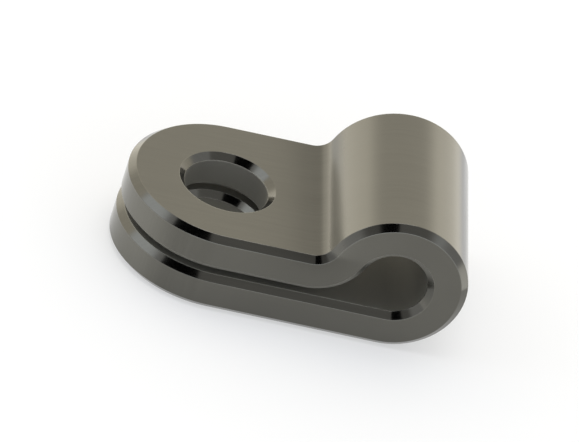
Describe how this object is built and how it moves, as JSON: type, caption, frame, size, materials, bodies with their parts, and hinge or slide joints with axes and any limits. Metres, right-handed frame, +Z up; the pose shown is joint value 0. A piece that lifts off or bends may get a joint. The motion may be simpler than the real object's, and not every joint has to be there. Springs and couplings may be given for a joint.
{
  "type": "p clip",
  "caption": "One-piece P clip: a flat strip folded round a loop that grips a cable, with a screw hole through its two stacked, round-ended legs.",
  "frame": {"origin": "on the screw hole's axis, in the underside of the lower leg", "axes": "+X from the screw hole to the cable loop, Y along the cable and across the strip, +Z up along the screw hole"},
  "size_m": [0.026, 0.015, 0.011],
  "materials": {
    "steel": "satin"
  },
  "bodies": {
    "root": {"clip_body": "steel"}
  },
  "joints": []
}
